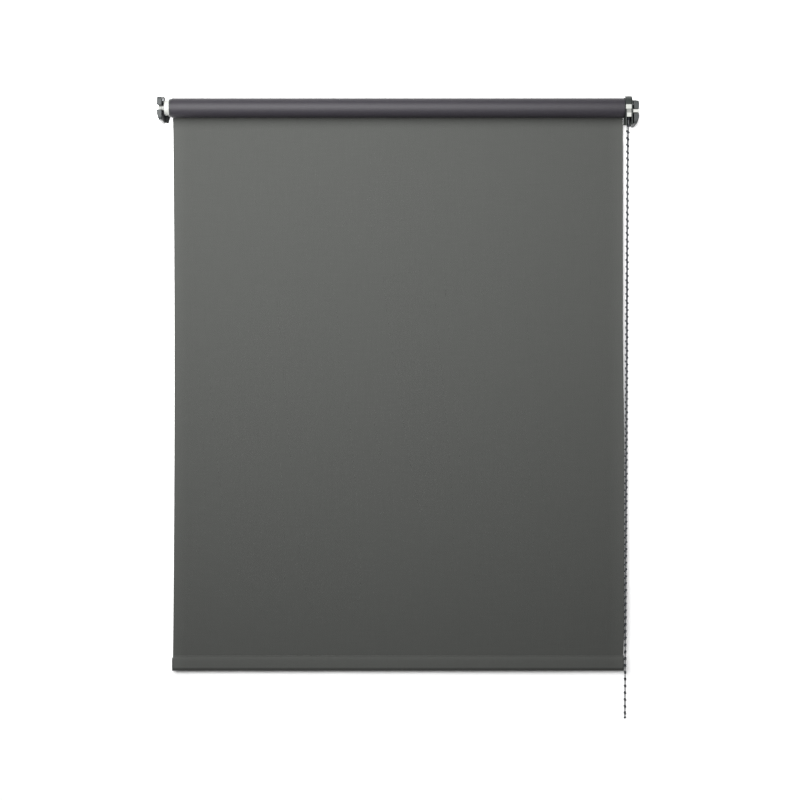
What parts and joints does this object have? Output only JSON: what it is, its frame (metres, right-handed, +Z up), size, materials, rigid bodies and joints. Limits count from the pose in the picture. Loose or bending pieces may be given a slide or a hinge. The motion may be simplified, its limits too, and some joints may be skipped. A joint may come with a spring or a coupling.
{
  "type": "roller blind",
  "caption": "Roller blind with a chain-turned roller between two wall brackets, cloth falling from the back of the roll to a weighted hem.",
  "frame": {"origin": "on the wall plane, midway between the two brackets, at the height of the roller's axis", "axes": "+X along the roller towards the chain, +Y into the wall, +Z up"},
  "size_m": [0.8472, 0.051, 1.1028],
  "materials": {
    "bracket_steel": "semi-matt dark grey powder coat",
    "cover_plastic": "satin dark grey",
    "clutch_plastic": "satin dark grey",
    "cap_plastic": "satin dark grey",
    "white_plastic": "semi-gloss white",
    "black_plastic": "matt black",
    "spring_steel": "drawn wire",
    "screw_steel": "zinc plated",
    "tube_lacquer": "dark grey lacquer",
    "bar_aluminium": "mill",
    "cloth_face": "fine plain weave, dark grey",
    "cloth_reverse": "fine plain weave, purple-grey reverse",
    "chain_plastic": "anthracite"
  },
  "bodies": {
    "mounting": {"left_bracket": "bracket_steel", "left_bracket_cover": "cover_plastic", "left_cover_screw": "screw_steel", "right_bracket": "bracket_steel", "right_bracket_cover": "cover_plastic", "right_cover_screw": "screw_steel", "clutch_housing": "clutch_plastic", "clutch_front_clip": "white_plastic", "clutch_back_plate": "clutch_plastic", "clutch_spindle": "white_plastic", "clutch_spring_inner": "spring_steel", "clutch_spring_outer": "spring_steel", "spindle_screw": "screw_steel", "fabric_drop": "cloth_face", "bead_chain": "chain_plastic", "chain_over_sprocket": "chain_plastic"},
    "roller": {"roller_tube": "tube_lacquer", "fabric_roll": "cloth_reverse", "idle_plug": "white_plastic", "idle_spring_cap": "black_plastic", "idle_pin_spring": "spring_steel", "drive_plug": "black_plastic", "chain_sprocket": "white_plastic"},
    "idle_pin": {"idle_pin": "white_plastic"},
    "bottom_bar": {"hem_pocket": "cloth_face", "bottom_bar": "bar_aluminium", "bar_cap_left": "cap_plastic", "bar_cap_right": "cap_plastic"}
  },
  "joints": [
    {"name": "roller_spin", "type": "hinge", "parent": "mounting", "child": "roller", "pos_m": [0, -0.03, 0], "axis": [1, 0, 0], "range_deg": [0, 2760]},
    {"name": "bottom_bar_lift", "type": "slide", "parent": "mounting", "child": "bottom_bar", "axis": [0, 0, 1], "range_m": [0, 0.935], "deforming": ["fabric_drop"]},
    {"name": "idle_pin_press", "type": "slide", "parent": "roller", "child": "idle_pin", "axis": [1, 0, 0], "range_m": [0, 0.009], "stiffness_N_per_m": 400, "springref_m": -0.006, "deforming": ["idle_pin_spring"]}
  ],
  "couplings": [
    {"joint": "bottom_bar_lift", "follows": "roller_spin", "m_per_rad": 0.0194}
  ]
}
